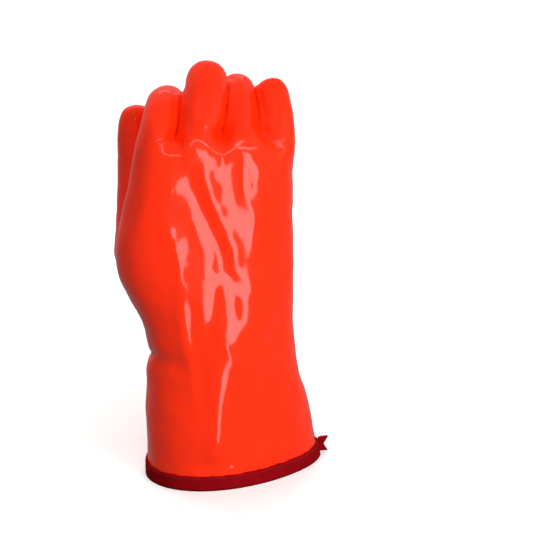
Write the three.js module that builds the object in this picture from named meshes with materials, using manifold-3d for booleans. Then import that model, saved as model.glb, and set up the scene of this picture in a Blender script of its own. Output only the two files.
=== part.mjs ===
// A right-hand PVC coated gauntlet glove that stands on its cuff, fingers up and curled towards the palm.
// Millimetres, +Z up. The back of the hand faces -Y, the thumb is on the -X side, and the bound rim
// of the cuff rests on z = 0, round the middle of the glove's box.

import * as THREE from "three";
import { mergeVertices } from "three/addons/utils/BufferGeometryUtils.js";
import Module from "manifold-3d";

const wasm = await Module();
wasm.setup();

// Driving dimensions of the coated shell.
const WALL = 3; // PVC coat with its padded liner
const CUFF_LENGTH = 84; // rim to the wrist
const HAND_LENGTH = 145; // wrist to the roots of the fingers
const CUFF_WIDTH = 124;
const CUFF_DEPTH = 83;
const CUFF_TAPER = 0.16; // the cuff's rim is deeper on the thumb side and narrower at its seam
const CUFF_SHEAR = 0.12; // the rim's seam stands towards the palm side
const WRIST_WIDTH = 103;
const WRIST_DEPTH = 75;
const PALM_WIDTH = 121;
const PALM_DEPTH = 62;
const HAND_LEAN = 19; // how far the palm's middle stands towards the thumb from the cuff's
const KNUCKLE_DROP = 30; // the roots of the fingers are lower on the palm side by this
const KNUCKLE_SLANT = 38; // degrees
const KNUCKLE_DEPTH = 43;

// Driving dimensions of the digits.
const FINGER_PITCH = 29; // root to root
const FINGER_GIRTH = 27; // width of the middle finger
const FINGER_LENGTH = 69; // of the middle finger, root to tip
const FINGER_SETBACK = 5; // how far the fingers stand from the middle of the knuckles towards the back
const THUMB_GIRTH = 26;
const THUMB_LENGTH = 114; // along its middle line, from inside the palm

// Driving dimensions of the binding tape.
const TAPE_WIDTH = 10; // what shows of it on each side of the wall
const TAPE_THICKNESS = 1;
const TAPE_GAP = 0.3; // between the tape and the wall it is folded over
const TAB_LENGTH = 6; // the joined ends that stand out of the rim
const TAB_NOTCH = 3; // depth of the notch between the two ends
const TAB_ROOT = 0.2; // the tab starts inside the tape, at this share of its thickness

const COLUMNS = 26; // points round one section of the coarse body
const FINGERS = 4;
const RIM_HEIGHT = TAPE_THICKNESS + TAPE_GAP; // the shell's edge stands on the inside of the fold

const wristAt = CUFF_LENGTH;
const handAt = (share) => wristAt + share * HAND_LENGTH;

// One row for each section of the body between the rim and the roots of the fingers. lean and drop are
// shares of HAND_LEAN and KNUCKLE_DROP, and rim is how much of the rim's taper and shear it still has.
// even is how far the section has turned from an ellipse into the flat row of the knuckles.
const BODY_SECTIONS = [
  {
    z: RIM_HEIGHT, width: CUFF_WIDTH, depth: CUFF_DEPTH,
    lean: 0, rim: 1, drop: 0, even: 0,
  },
  {
    z: 0.143 * CUFF_LENGTH, width: 0.978 * CUFF_WIDTH, depth: 0.99 * CUFF_DEPTH,
    lean: 0.06, rim: 0.95, drop: 0, even: 0,
  },
  {
    z: 0.286 * CUFF_LENGTH, width: 0.957 * CUFF_WIDTH, depth: 0.98 * CUFF_DEPTH,
    lean: 0.12, rim: 0.9, drop: 0, even: 0,
  },
  {
    z: 0.55 * CUFF_LENGTH, width: 0.925 * CUFF_WIDTH, depth: 0.95 * CUFF_DEPTH,
    lean: 0.27, rim: 0.7, drop: 0, even: 0,
  },
  {
    z: 0.81 * CUFF_LENGTH, width: 1.02 * WRIST_WIDTH, depth: 1.01 * WRIST_DEPTH,
    lean: 0.4, rim: 0.5, drop: 0, even: 0,
  },
  {
    z: wristAt, width: 0.985 * WRIST_WIDTH, depth: WRIST_DEPTH,
    lean: 0.41, rim: 0.35, drop: 0, even: 0.05,
  },
  {
    z: handAt(0.11), width: 0.99 * WRIST_WIDTH, depth: 0.95 * WRIST_DEPTH,
    lean: 0.5, rim: 0.2, drop: 0, even: 0.12,
  },
  {
    z: handAt(0.22), width: 0.89 * PALM_WIDTH, depth: 1.1 * PALM_DEPTH,
    lean: 0.66, rim: 0.1, drop: 0.1, even: 0.2,
  },
  {
    z: handAt(0.38), width: 1 * PALM_WIDTH, depth: 1.04 * PALM_DEPTH,
    lean: 0.98, rim: 0, drop: 0.2, even: 0.3,
  },
  {
    z: handAt(0.54), width: 1.02 * PALM_WIDTH, depth: 0.98 * PALM_DEPTH,
    lean: 1.04, rim: 0, drop: 0.4, even: 0.5,
  },
  {
    z: handAt(0.68), width: 0.99 * PALM_WIDTH, depth: 0.91 * PALM_DEPTH,
    lean: 0.93, rim: 0, drop: 0.6, even: 0.75,
  },
  {
    z: handAt(0.83), width: 0.95 * PALM_WIDTH, depth: 0.8 * PALM_DEPTH,
    lean: 0.8, rim: 0, drop: 0.85, even: 0.95,
  },
];
const KNUCKLE_LEAN = 0.62; // the share of HAND_LEAN that the row of knuckles still has
const KNUCKLE_SQUARENESS = 2.6; // power of the rounded oblong that an even section is; an ellipse has 2

// One row for each finger, from the index to the little finger. root is the height of its root from the
// wrist as a share of HAND_LENGTH, across its place in the row as a share of FINGER_PITCH, and knuckle
// the depth of its root as a share of KNUCKLE_DEPTH. tilt, curl and splay are degrees: tilt leans the
// root towards the palm, curl is what the digit bends further on its way to the tip, and splay leans it
// sideways.
const FINGER_ROWS = [
  {
    root: 0.98, across: -1.49, length: 0.96 * FINGER_LENGTH, girth: 0.87 * FINGER_GIRTH,
    knuckle: 0.96, tilt: 32, curl: 75, splay: 22.7,
  },
  {
    root: 1.0, across: -0.48, length: 0.82 * FINGER_LENGTH, girth: 1 * FINGER_GIRTH,
    knuckle: 1, tilt: 13, curl: 53, splay: 17.6,
  },
  {
    root: 0.98, across: 0.475, length: 0.81 * FINGER_LENGTH, girth: 0.87 * FINGER_GIRTH,
    knuckle: 0.98, tilt: 39, curl: 36, splay: 12,
  },
  {
    root: 0.9, across: 1.46, length: 0.76 * FINGER_LENGTH, girth: 0.8 * FINGER_GIRTH,
    knuckle: 0.82, tilt: 12, curl: 37, splay: 1.5,
  },
];
const THUMB = { length: THUMB_LENGTH, girth: THUMB_GIRTH, tilt: 50, curl: -50, splay: 0 };

const THUMB_BLUNTNESS = 0.4; // how near the two points of the thumb's end stand to its middle
const ROOT_WIDTH = 1.02; // of the ring of points that a finger grows from, as a share of its girth

// One row for each section of a digit: how far along it stands, how much of the digit's curl it has
// made, and its width and thickness as shares of the digit's girth.
const FINGER_SECTIONS = [
  { along: 0.17, turned: 0.05, width: 1.0, thick: 1.12 },
  { along: 0.36, turned: 0.2, width: 1.0, thick: 1.04 },
  { along: 0.52, turned: 0.5, width: 1.02, thick: 1.03 },
  { along: 0.68, turned: 0.75, width: 1.0, thick: 0.98 },
  { along: 0.84, turned: 0.95, width: 0.98, thick: 0.95 },
  { along: 0.96, turned: 1.0, width: 0.76, thick: 0.72 },
];
const THUMB_SECTIONS = [
  { along: 0.09, turned: 0, width: 1.6, thick: 1.66 },
  { along: 0.23, turned: 0.4, width: 1.34, thick: 1.38 },
  { along: 0.38, turned: 0.6, width: 1.13, thick: 1.16 },
  { along: 0.55, turned: 0.85, width: 1.02, thick: 1.0 },
  { along: 0.71, turned: 1, width: 1.0, thick: 0.96 },
  { along: 0.86, turned: 1, width: 0.98, thick: 0.92 },
  { along: 0.965, turned: 1, width: 0.72, thick: 0.68 },
];

// The thumb grows from a patch of the palm, two sections high and three columns wide. THUMB_EDGE is
// the column on the thumb's edge of the hand; column 0 is on the little finger's edge.
const THUMB_EDGE = COLUMNS / 2;
const THUMB_PATCH = { firstSection: BODY_SECTIONS.length - 5, firstColumn: THUMB_EDGE - 5 };

// Soft swellings and hollows of the body: the middle they have round it and how far they reach round it,
// in degrees from the little finger's edge towards the palm, then how high they sit, how far they reach
// up and down, and how far they stand out.
const SWELLINGS = [
  { at: 118, z: handAt(0.3), round: 36, reach: 0.18 * HAND_LENGTH, out: 12 }, // ball of the thumb
  { at: 50, z: handAt(0.25), round: 35, reach: 0.2 * HAND_LENGTH, out: 3 }, // heel of the palm
  { at: 76, z: handAt(0.6), round: 28, reach: 0.22 * HAND_LENGTH, out: -6 }, // hollow of the palm
];

// Folds that the coat has set in. Each runs straight from one place to another on one side of the
// glove: x is a share of PALM_WIDTH from the middle of the rim, z a share of the height of the
// fingers' roots. wide is how far its flanks reach and out how far it stands out (or in, below zero).
const BACK = -1;
const PALM = 1;
const FOLDS = [
  { side: BACK, x0: -0.1, z0: 0.45, x1: -0.24, z1: 0.08, wide: 13, out: 3 },
  { side: BACK, x0: 0.16, z0: 0.42, x1: 0.12, z1: 0.08, wide: 20, out: -2.5 },
  { side: BACK, x0: -0.52, z0: 0.34, x1: -0.36, z1: 0.38, wide: 7, out: -2.5 },
  { side: BACK, x0: -0.21, z0: 1.02, x1: -0.19, z1: 0.97, wide: 9, out: 1.6 },
  { side: BACK, x0: 0.03, z0: 1.02, x1: 0.02, z1: 0.96, wide: 9, out: 1.6 },
  { side: BACK, x0: -0.34, z0: 1.02, x1: -0.31, z1: 0.9, wide: 7, out: -1.8 },
  { side: BACK, x0: -0.1, z0: 1.02, x1: -0.09, z1: 0.92, wide: 7, out: -1.8 },
  { side: BACK, x0: 0.16, z0: 0.98, x1: 0.17, z1: 0.88, wide: 7, out: -1.8 },
  { side: PALM, x0: -0.17, z0: 0.66, x1: -0.2, z1: 0.53, wide: 8, out: -3.5 },
  { side: PALM, x0: -0.2, z0: 0.53, x1: -0.4, z1: 0.475, wide: 8, out: -4 },
  { side: PALM, x0: -0.4, z0: 0.475, x1: -0.62, z1: 0.485, wide: 8, out: -3.5 },
  { side: PALM, x0: 0.12, z0: 0.31, x1: 0.04, z1: 0.22, wide: 11, out: 2.5 },
  { side: PALM, x0: 0.04, z0: 0.22, x1: -0.15, z1: 0.2, wide: 11, out: 2.5 },
  { side: PALM, x0: -0.05, z0: 0.4, x1: -0.08, z1: 0.33, wide: 8, out: -2.5 },
  { side: PALM, x0: 0.03, z0: 0.92, x1: -0.26, z1: 0.75, wide: 9, out: 2 },
  { side: PALM, x0: 0.34, z0: 0.78, x1: 0, z1: 0.68, wide: 9, out: -2.5 },
];
const FOLD_START = 18; // below this height the cuff is stretched smooth by its binding
const FOLD_FADE = 12; // the folds have their whole depth this much higher
const FOLD_EDGE = 2; // how fast a fold fades out where the coat turns to the side of the glove
const FOLD_CRISPNESS = 1.5; // how fast a fold's flanks fall to the coat round it

const radians = THREE.MathUtils.degToRad;

// A surface of four-sided faces, before and after it is smoothed.
class Cage {
  constructor() {
    this.points = [];
    this.faces = [];
  }

  add(point) {
    return this.points.push(point) - 1;
  }

  face(...corners) {
    this.faces.push(corners);
  }

  // Joins two loops of points of one length with a band of faces.
  band(lower, upper) {
    lower.forEach((point, i) => {
      const next = (i + 1) % lower.length;
      this.face(point, lower[next], upper[next], upper[i]);
    });
  }
}

// One Catmull-Clark step. Points on an open edge stay on that edge.
function smoothed(cage) {
  const out = new Cage();
  const edges = new Map();
  const edgeKey = (a, b) => (a < b ? `${a}_${b}` : `${b}_${a}`);
  const facePoints = cage.faces.map((face) => {
    const middle = new THREE.Vector3();
    face.forEach((i) => middle.addScaledVector(cage.points[i], 1 / face.length));
    return middle;
  });
  cage.faces.forEach((face, f) => {
    face.forEach((a, i) => {
      const b = face[(i + 1) % face.length];
      const key = edgeKey(a, b);
      if (!edges.has(key)) edges.set(key, { ends: [a, b], faces: [] });
      edges.get(key).faces.push(f);
    });
  });

  const around = cage.points.map(() => ({ edges: [], faces: new Set(), open: [] }));
  for (const edge of edges.values()) {
    for (const end of edge.ends) {
      around[end].edges.push(edge);
      edge.faces.forEach((f) => around[end].faces.add(f));
      if (edge.faces.length === 1) around[end].open.push(edge);
    }
  }

  const moved = cage.points.map((point, i) => {
    const near = around[i];
    const middleOf = ({ ends: [a, b] }) => cage.points[a].clone().lerp(cage.points[b], 0.5);
    if (near.open.length) {
      const result = point.clone().multiplyScalar(0.5);
      near.open.forEach((edge) => result.addScaledVector(middleOf(edge), 0.25));
      return out.add(result);
    }
    const count = near.edges.length;
    const result = point.clone().multiplyScalar((count - 3) / count);
    near.edges.forEach((edge) => result.addScaledVector(middleOf(edge), 2 / (count * count)));
    near.faces.forEach((f) => result.addScaledVector(facePoints[f], 1 / (count * near.faces.size)));
    return out.add(result);
  });
  const faceIds = facePoints.map((point) => out.add(point));
  for (const edge of edges.values()) {
    const middle = cage.points[edge.ends[0]].clone().lerp(cage.points[edge.ends[1]], 0.5);
    if (edge.faces.length === 2) {
      const across = facePoints[edge.faces[0]].clone().lerp(facePoints[edge.faces[1]], 0.5);
      middle.lerp(across, 0.5);
    }
    edge.id = out.add(middle);
  }
  cage.faces.forEach((face, f) => {
    face.forEach((a, i) => {
      const next = face[(i + 1) % face.length];
      const before = face[(i + face.length - 1) % face.length];
      out.face(moved[a], edges.get(edgeKey(a, next)).id, faceIds[f], edges.get(edgeKey(before, a)).id);
    });
  });
  return out;
}

// How far a control loop of so many points stands outside the smooth loop that it makes.
const grownFor = (count) => 6 / (4 + 2 * Math.cos((2 * Math.PI) / count));

// The places of a digit's points round it, in degrees from its +X side towards the palm side.
const FINGER_ANGLES = [0, 45, 90, 135, 180, 225, 270, 315];
const THUMB_ANGLES = Array.from({ length: 10 }, (_, i) => 45 + 36 * i);

// A ring of points about a middle, in the plane of two directions.
function ringPoints(middle, side, palmward, halfWidth, halfThick, angles) {
  const grown = grownFor(angles.length);
  return angles.map((angle) =>
    middle
      .clone()
      .addScaledVector(side, grown * halfWidth * Math.cos(radians(angle)))
      .addScaledVector(palmward, grown * halfThick * Math.sin(radians(angle))),
  );
}

// The direction a digit runs in, and the two directions across it.
function digitFrame(tilt, splay) {
  const [t, s] = [radians(tilt), radians(splay)];
  const ahead = new THREE.Vector3(Math.sin(s), Math.cos(s) * Math.sin(t), Math.cos(s) * Math.cos(t));
  const side = new THREE.Vector3(Math.cos(s), -Math.sin(s) * Math.sin(t), -Math.sin(s) * Math.cos(t));
  return { ahead, side, palmward: new THREE.Vector3().crossVectors(ahead, side) };
}

// The coarse body's points go round a section from the little finger's edge over the palm side.
function bodySection(row) {
  const half = COLUMNS / 2;
  const power = THREE.MathUtils.lerp(2, KNUCKLE_SQUARENESS, row.even);
  return Array.from({ length: COLUMNS }, (_, column) => {
    const onPalm = column <= half;
    const step = onPalm ? column : COLUMNS - column;
    const across = THREE.MathUtils.lerp(Math.cos((Math.PI * step) / half), 1 - (2 * step) / half, row.even);
    const deep = (onPalm ? 1 : -1) * (1 - Math.abs(across) ** power) ** (1 / power);
    const x = 0.5 * row.width * across;
    const point = new THREE.Vector3(
      x - row.lean * HAND_LEAN,
      0.5 * row.depth * deep * (1 - row.rim * CUFF_TAPER * across) + row.rim * CUFF_SHEAR * x,
      row.z - 0.5 * row.drop * KNUCKLE_DROP * deep,
    );
    const outward = new THREE.Vector3(across / row.width, deep / row.depth, 0).normalize();
    for (const swelling of SWELLINGS) {
      const round = ((360 * column) / COLUMNS - swelling.at) / swelling.round;
      const up = (row.z - swelling.z) / swelling.reach;
      point.addScaledVector(outward, swelling.out * Math.exp(-round * round - up * up));
    }
    return point;
  });
}

function fingerRoot(row) {
  return new THREE.Vector3(row.across * FINGER_PITCH - KNUCKLE_LEAN * HAND_LEAN, 0, handAt(row.root));
}

// The whole outside of the glove as a coarse cage, open at the rim.
function gloveCage() {
  const cage = new Cage();
  const rings = BODY_SECTIONS.map((row) => bodySection(row).map((point) => cage.add(point)));

  // The last section of the body is made of the roots of the fingers.
  const knuckles = new Array(COLUMNS);
  const rootFrame = digitFrame(KNUCKLE_SLANT, 0);
  const loops = FINGER_ROWS.map((row, index) => {
    const halfDepth = 0.5 * row.knuckle * KNUCKLE_DEPTH;
    const halfWidth = 0.5 * ROOT_WIDTH * row.girth;
    const points = ringPoints(
      fingerRoot(row), rootFrame.side, rootFrame.palmward, halfWidth, halfDepth, FINGER_ANGLES,
    );
    const ids = points.map((point) => cage.add(point));
    const [right, palmRight, palm, palmLeft, left, backLeft, back, backRight] = ids;
    const palmColumn = 10 - 3 * index;
    const backColumn = THUMB_EDGE + 1 + 3 * index;
    [palmRight, palm, palmLeft].forEach((id, i) => (knuckles[palmColumn + i] = id));
    [backLeft, back, backRight].forEach((id, i) => (knuckles[backColumn + i] = id));
    if (index === 0) knuckles[THUMB_EDGE] = left;
    if (index === FINGERS - 1) knuckles[0] = right;
    return ids;
  });
  rings.push(knuckles);

  // The bands of the body, without the patch that the thumb grows from.
  const { firstSection, firstColumn } = THUMB_PATCH;
  const inPatch = (section, column) =>
    section >= firstSection && section < firstSection + 2
    && column >= firstColumn && column < firstColumn + 3;
  for (let section = 0; section + 1 < rings.length; section++) {
    for (let column = 0; column < COLUMNS; column++) {
      if (inPatch(section, column)) continue;
      const next = (column + 1) % COLUMNS;
      const [lower, upper] = [rings[section], rings[section + 1]];
      cage.face(lower[column], lower[next], upper[next], upper[column]);
    }
  }

  // The webs between neighbouring fingers.
  for (let index = 0; index + 1 < FINGERS; index++) {
    const [here, there] = [loops[index], loops[index + 1]];
    cage.face(here[7], there[5], there[4], here[0]);
    cage.face(here[0], there[4], there[3], here[1]);
  }

  FINGER_ROWS.forEach((row, index) => {
    const root = fingerRoot(row).addScaledVector(rootFrame.palmward, -FINGER_SETBACK);
    closeFinger(cage, addDigit(cage, loops[index], root, row, FINGER_SECTIONS, FINGER_ANGLES));
  });
  closeThumb(cage, addThumb(cage, rings));
  return withoutUnused(cage);
}

// Bands of faces from a digit's root loop to its last loop. Returns that loop and the tip's point.
function addDigit(cage, rootLoop, root, digit, sections, angles) {
  let loop = rootLoop;
  let before = 0;
  const middle = root.clone();
  const frameAt = (turned) => digitFrame(digit.tilt + turned * digit.curl, digit.splay);
  for (const section of sections) {
    const { ahead, side, palmward } = frameAt(section.turned);
    middle.addScaledVector(ahead, (section.along - before) * digit.length);
    before = section.along;
    const half = 0.5 * digit.girth;
    const points = ringPoints(middle, side, palmward, half * section.width, half * section.thick, angles);
    const next = points.map((point) => cage.add(point));
    cage.band(loop, next);
    loop = next;
  }
  const rise = frameAt(1).ahead.multiplyScalar((1 - before) * digit.length);
  return { loop, rise, tip: middle.clone().add(rise) };
}

function closeFinger(cage, { loop, tip }) {
  const [right, palmRight, palm, palmLeft, left, backLeft, back, backRight] = loop;
  const middle = cage.add(tip);
  cage.face(right, palmRight, palm, middle);
  cage.face(palm, palmLeft, left, middle);
  cage.face(left, backLeft, back, middle);
  cage.face(back, backRight, right, middle);
}

function addThumb(cage, rings) {
  const { firstSection: s, firstColumn: c } = THUMB_PATCH;
  const loop = [
    rings[s][c], rings[s][c + 1], rings[s][c + 2], rings[s][c + 3], rings[s + 1][c + 3],
    rings[s + 2][c + 3], rings[s + 2][c + 2], rings[s + 2][c + 1], rings[s + 2][c], rings[s + 1][c],
  ];
  const root = new THREE.Vector3();
  loop.forEach((id) => root.addScaledVector(cage.points[id], 1 / loop.length));
  return addDigit(cage, loop, root, THUMB, THUMB_SECTIONS, THUMB_ANGLES);
}

// The thumb's end is a grid of six faces round two points.
function closeThumb(cage, { loop, rise, tip }) {
  const middleOf = (i, j) => cage.points[loop[i]].clone().lerp(cage.points[loop[j]], 0.5);
  const between = (i, j) => middleOf(i, j).add(rise).lerp(tip, THUMB_BLUNTNESS);
  const first = cage.add(between(1, 7));
  const second = cage.add(between(2, 6));
  cage.face(loop[0], loop[1], first, loop[9]);
  cage.face(loop[1], loop[2], second, first);
  cage.face(loop[2], loop[3], loop[4], second);
  cage.face(loop[9], first, loop[7], loop[8]);
  cage.face(first, second, loop[6], loop[7]);
  cage.face(second, loop[4], loop[5], loop[6]);
}

// The same cage without the points that no face uses.
function withoutUnused(cage) {
  const out = new Cage();
  const ids = new Map();
  for (const face of cage.faces) {
    for (const id of face) if (!ids.has(id)) ids.set(id, out.add(cage.points[id]));
    out.faces.push(face.map((id) => ids.get(id)));
  }
  return out;
}

function normalsOf(cage) {
  const normals = cage.points.map(() => new THREE.Vector3());
  for (const face of cage.faces) {
    const [a, b, c, d] = face.map((id) => cage.points[id]);
    const normal = new THREE.Vector3().crossVectors(c.clone().sub(a), d.clone().sub(b));
    face.forEach((id) => normals[id].add(normal));
  }
  return normals.map((normal) => normal.normalize());
}

// The points of the open edge, in order round the rim.
function rimLoop(cage) {
  const after = new Map();
  for (const face of cage.faces) face.forEach((a, i) => after.set(`${a}_${face[(i + 1) % 4]}`, true));
  const next = new Map();
  for (const face of cage.faces)
    face.forEach((a, i) => {
      const b = face[(i + 1) % 4];
      if (!after.has(`${b}_${a}`)) next.set(a, b);
    });
  const start = [...next.keys()][0];
  const loop = [start];
  while (next.get(loop.at(-1)) !== start) loop.push(next.get(loop.at(-1)));
  return loop;
}

// The same surface with the folds pressed into it along its normals.
function folded(cage) {
  const normals = normalsOf(cage);
  const out = new Cage();
  out.faces = cage.faces;
  const rootHeight = handAt(1);
  const clamp = (value) => THREE.MathUtils.clamp(value, 0, 1);
  out.points = cage.points.map((point, id) => {
    const flat = new THREE.Vector3(point.x, 0, point.z);
    let push = 0;
    for (const fold of FOLDS) {
      const start = new THREE.Vector3(fold.x0 * PALM_WIDTH, 0, fold.z0 * rootHeight);
      const end = new THREE.Vector3(fold.x1 * PALM_WIDTH, 0, fold.z1 * rootHeight);
      const nearest = new THREE.Line3(start, end).closestPointToPoint(flat, true, new THREE.Vector3());
      const distance = nearest.distanceTo(flat) / fold.wide;
      const facing = clamp(FOLD_EDGE * fold.side * normals[id].y);
      push += fold.out * facing * Math.exp(-FOLD_CRISPNESS * distance * distance);
    }
    return point.clone().addScaledVector(normals[id], push * clamp((point.z - FOLD_START) / FOLD_FADE));
  });
  return out;
}

// The shell's inner surface stands a wall's thickness further in. At the rim it stays level.
function insideOf(outside) {
  const normals = normalsOf(outside);
  const rim = new Set(rimLoop(outside));
  return outside.points.map((point, id) => {
    const normal = normals[id].clone();
    if (rim.has(id)) normal.setZ(0).normalize();
    return point.clone().addScaledVector(normal, -WALL);
  });
}

// A closed shell: the outside, the inside, and the edge between them.
function shellGeometry(outside, inside) {
  const count = outside.points.length;
  const faces = [...outside.faces, ...outside.faces.map((face) => face.map((id) => id + count).reverse())];
  const loop = rimLoop(outside);
  loop.forEach((a, i) => {
    const b = loop[(i + 1) % loop.length];
    faces.push([b, a, a + count, b + count]);
  });
  return quadGeometry([...outside.points, ...inside], faces);
}

function quadGeometry(points, faces) {
  const geometry = new THREE.BufferGeometry();
  const places = points.flatMap((point) => point.toArray());
  geometry.setAttribute("position", new THREE.Float32BufferAttribute(places, 3));
  geometry.setIndex(faces.flatMap(([a, b, c, d]) => [a, b, c, a, c, d]));
  return geometry;
}

// For each point of the rim, the points that stand above it up the cuff.
function cuffColumns(outside, rows) {
  const neighbours = outside.points.map(() => new Set());
  for (const face of outside.faces) {
    face.forEach((a, i) => {
      neighbours[a].add(face[(i + 1) % 4]);
      neighbours[face[(i + 1) % 4]].add(a);
    });
  }
  return rimLoop(outside).map((start) => {
    const column = [start];
    while (column.length < rows) {
      const height = (id) => outside.points[id].z;
      const here = column.at(-1);
      const [above] = [...neighbours[here]].sort((a, b) => height(b) - height(a));
      if (height(above) <= height(here)) break;
      column.push(above);
    }
    return column;
  });
}

// The place on a column of points at one height.
function atHeight(points, z) {
  const upper = Math.max(1, points.findIndex((point) => point.z >= z));
  const [low, high] = [points[upper - 1], points[upper]];
  return low.clone().lerp(high, (z - low.z) / (high.z - low.z));
}

// The tape is folded over the rim: up the outside, under the edge and up the inside of the cuff.
function bindingGeometry(outside, inside) {
  const normals = normalsOf(outside);
  const heights = [TAPE_WIDTH, 0.5 * (TAPE_WIDTH + RIM_HEIGHT)];
  const near = TAPE_GAP;
  const far = TAPE_GAP + TAPE_THICKNESS;
  const columns = cuffColumns(outside, 5).map((column) => {
    const outward = normals[column[0]].clone().setZ(0).normalize();
    const outer = column.map((id) => outside.points[id]);
    const inner = column.map((id) => inside[id]);
    const place = (wall, z, out, level = z) => atHeight(wall, z).addScaledVector(outward, out).setZ(level);
    return [
      ...heights.map((z) => place(outer, z, far)),
      place(outer, RIM_HEIGHT, far, 0),
      place(inner, RIM_HEIGHT, -far, 0),
      ...[...heights].reverse().map((z) => place(inner, z, -far)),
      ...heights.map((z) => place(inner, z, -near)),
      place(inner, RIM_HEIGHT, -near, TAPE_THICKNESS),
      place(outer, RIM_HEIGHT, near, TAPE_THICKNESS),
      ...[...heights].reverse().map((z) => place(outer, z, near)),
    ];
  });
  const ring = columns[0].length;
  const id = (column, place) => (column % columns.length) * ring + (place % ring);
  const faces = columns.flatMap((_, column) =>
    Array.from({ length: ring }, (_, place) => [
      id(column, place), id(column, place + 1), id(column + 1, place + 1), id(column + 1, place),
    ]),
  );
  return quadGeometry(columns.flat(), faces);
}

// The joined ends of the tape: a flat tongue with a notch, standing straight out of the cuff's seam.
function tabGeometry(outside) {
  const [seamEnd] = rimLoop(outside)
    .map((id) => outside.points[id])
    .sort((a, b) => b.x - a.x);
  const root = seamEnd.x + TAPE_GAP + TAB_ROOT * TAPE_THICKNESS;
  const tip = seamEnd.x + TAPE_GAP + TAPE_THICKNESS + TAB_LENGTH;
  const shape = new THREE.Shape();
  shape.moveTo(root, 0);
  shape.lineTo(tip, 0);
  shape.lineTo(tip - TAB_NOTCH, 0.5 * TAPE_WIDTH);
  shape.lineTo(tip, TAPE_WIDTH);
  shape.lineTo(root, TAPE_WIDTH);
  const tab = new THREE.ExtrudeGeometry(shape, { depth: 2 * TAPE_THICKNESS, bevelEnabled: false });
  tab.rotateX(0.5 * Math.PI);
  tab.translate(0, seamEnd.y + TAPE_THICKNESS, 0);
  return tab;
}

function toManifold(geometry) {
  const places = new THREE.BufferGeometry().setAttribute("position", geometry.getAttribute("position"));
  const welded = mergeVertices(places.setIndex(geometry.getIndex()));
  const mesh = new wasm.Mesh({
    numProp: 3,
    vertProperties: new Float32Array(welded.getAttribute("position").array),
    triVerts: new Uint32Array(welded.getIndex().array),
  });
  return new wasm.Manifold(mesh);
}

function fromManifold(solid) {
  const mesh = solid.getMesh();
  const geometry = new THREE.BufferGeometry();
  geometry.setAttribute("position", new THREE.BufferAttribute(new Float32Array(mesh.vertProperties), 3));
  geometry.setIndex(new THREE.BufferAttribute(new Uint32Array(mesh.triVerts), 1));
  return geometry;
}

const outside = folded(smoothed(gloveCage()));
const inside = insideOf(outside);

const coat = new THREE.MeshStandardMaterial({ color: 0xf8401c, roughness: 0.25, metalness: 0 });
const tape = new THREE.MeshStandardMaterial({ color: 0x8e0c16, roughness: 0.85, metalness: 0 });

const shell = new THREE.Mesh(shellGeometry(outside, inside), coat);
shell.name = "glove_shell";
const binding = new THREE.Mesh(
  fromManifold(toManifold(bindingGeometry(outside, inside)).add(toManifold(tabGeometry(outside)))),
  tape,
);
binding.name = "cuff_binding";

// The origin is under the middle of the whole glove's box, on the floor.
const group = new THREE.Group();
group.add(shell, binding);
const middle = new THREE.Box3().setFromObject(group).getCenter(new THREE.Vector3());
for (const mesh of group.children) mesh.geometry.translate(-middle.x, -middle.y, 0);

export default group;
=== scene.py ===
"""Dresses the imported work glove: a wrinkled glossy coat with a knit lining, and a sewn cuff tape."""
import logging
import math
from dataclasses import dataclass, field
from enum import Enum
from typing import ClassVar

import bmesh
import bpy
import numpy as np
from mathutils import Matrix, Vector, noise
from mathutils.bvhtree import BVHTree


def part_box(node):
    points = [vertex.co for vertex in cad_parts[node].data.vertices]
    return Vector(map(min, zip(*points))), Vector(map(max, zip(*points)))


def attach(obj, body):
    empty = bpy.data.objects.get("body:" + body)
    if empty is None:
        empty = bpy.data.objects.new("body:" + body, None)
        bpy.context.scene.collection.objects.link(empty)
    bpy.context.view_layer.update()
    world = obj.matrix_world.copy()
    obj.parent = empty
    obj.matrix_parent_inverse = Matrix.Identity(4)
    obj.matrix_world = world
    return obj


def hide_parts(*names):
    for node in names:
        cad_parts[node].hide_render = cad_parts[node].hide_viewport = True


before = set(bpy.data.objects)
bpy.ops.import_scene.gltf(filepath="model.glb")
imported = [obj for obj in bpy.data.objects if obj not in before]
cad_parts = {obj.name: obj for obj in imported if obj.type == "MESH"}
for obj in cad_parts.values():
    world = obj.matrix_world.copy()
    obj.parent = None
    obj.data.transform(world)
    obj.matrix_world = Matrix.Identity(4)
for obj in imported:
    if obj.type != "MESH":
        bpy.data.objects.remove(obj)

MM = 0.001
"""One millimetre in the scene's metres."""

log = logging.getLogger("work_glove")


class Side(Enum):
    """The face of the glove that a crease lies on: the axis that its skin faces, and the sign."""

    BACK = (1, -1.0)
    PALM = (1, 1.0)
    THUMB = (0, -1.0)


class Profile(Enum):
    """How the coat bends across a crease's line."""

    ROUND = "round"
    SHARP = "sharp"
    STEP = "step"


class Colour(Enum):
    """Linear colours of the glove's finishes and of the studio."""

    COAT = (0.92, 0.025, 0.0015)
    COAT_DEEP = (0.80, 0.014, 0.001)
    KNIT = (0.62, 0.58, 0.50)
    KNIT_SHADE = (0.40, 0.37, 0.31)
    TAPE = (0.29, 0.0025, 0.006)
    TAPE_DARK = (0.15, 0.0012, 0.003)
    THREAD = (0.22, 0.0025, 0.006)
    FLOOR = (0.90, 0.90, 0.89)
    SKY = (1.0, 1.0, 1.0)

    @property
    def rgba(self) -> tuple[float, float, float, float]:
        """The colour with full alpha."""
        return (*self.value, 1.0)


# Shader helpers


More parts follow.
